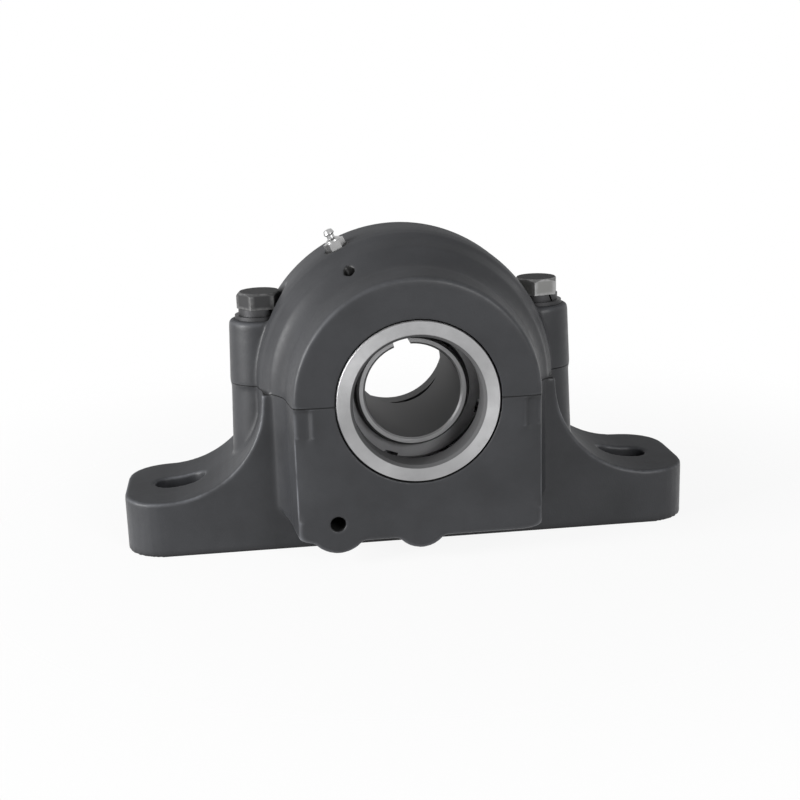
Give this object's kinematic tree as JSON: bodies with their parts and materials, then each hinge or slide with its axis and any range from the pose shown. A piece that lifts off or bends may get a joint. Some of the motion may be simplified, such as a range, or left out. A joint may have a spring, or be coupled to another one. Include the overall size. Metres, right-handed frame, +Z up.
{
  "type": "pillow block bearing",
  "caption": "Split cast pillow block with slotted feet, bolted domed cap, bright seal rings and a self-aligning roller bearing on a split adapter sleeve.",
  "frame": {"origin": "on the floor, in the middle of the base, under the centre of the bearing", "axes": "+Z up, +Y along the shaft from the pictured end face to the other, +X to the right when facing the pictured end"},
  "size_m": [0.344, 0.1572, 0.1867],
  "materials": {
    "cast": "charcoal paint over cast iron",
    "bolt_steel": "dark oiled steel",
    "washer_steel": "plain steel",
    "bright_steel": "bright turned steel",
    "fitting_steel": "bright plated steel",
    "bearing_steel": "ground bearing steel",
    "roller_steel": "polished bearing steel",
    "cage_steel": "dark machined steel",
    "sleeve_steel": "turned steel",
    "nut_steel": "turned steel",
    "cord_rubber": "black rubber"
  },
  "bodies": {
    "housing": {"base": "cast", "cap": "cast", "cap_bolts": "bolt_steel", "lock_washers": "washer_steel", "flat_washers": "washer_steel", "dowel_pins": "washer_steel", "grease_fitting": "fitting_steel", "outer_ring": "bearing_steel", "locating_ring_front": "washer_steel", "locating_ring_rear": "washer_steel", "seal_ring_front": "bright_steel", "seal_ring_rear": "bright_steel", "seal_cord_front": "cord_rubber", "seal_cord_rear": "cord_rubber"},
    "swivel": {"guide_ring": "bearing_steel"},
    "shaft_set": {"inner_ring": "bearing_steel", "adapter_sleeve": "sleeve_steel", "lock_nut": "nut_steel", "tab_washer": "washer_steel"},
    "cage_set": {"rollers_front": "roller_steel", "rollers_rear": "roller_steel", "cage_front": "cage_steel", "cage_rear": "cage_steel"}
  },
  "joints": [
    {"name": "self_align", "type": "hinge", "parent": "housing", "child": "swivel", "pos_m": [0, 0, 0.09525], "axis": [1, 0, 0], "range_deg": [-1.5, 1.5]},
    {"name": "shaft_spin", "type": "hinge", "parent": "swivel", "child": "shaft_set", "pos_m": [0, 0, 0.09525], "axis": [0, 1, 0], "continuous": true},
    {"name": "cage_spin", "type": "hinge", "parent": "swivel", "child": "cage_set", "pos_m": [0, 0, 0.09525], "axis": [0, 1, 0], "continuous": true}
  ],
  "couplings": [
    {"joint": "cage_spin", "follows": "shaft_spin", "ratio": 0.403}
  ]
}
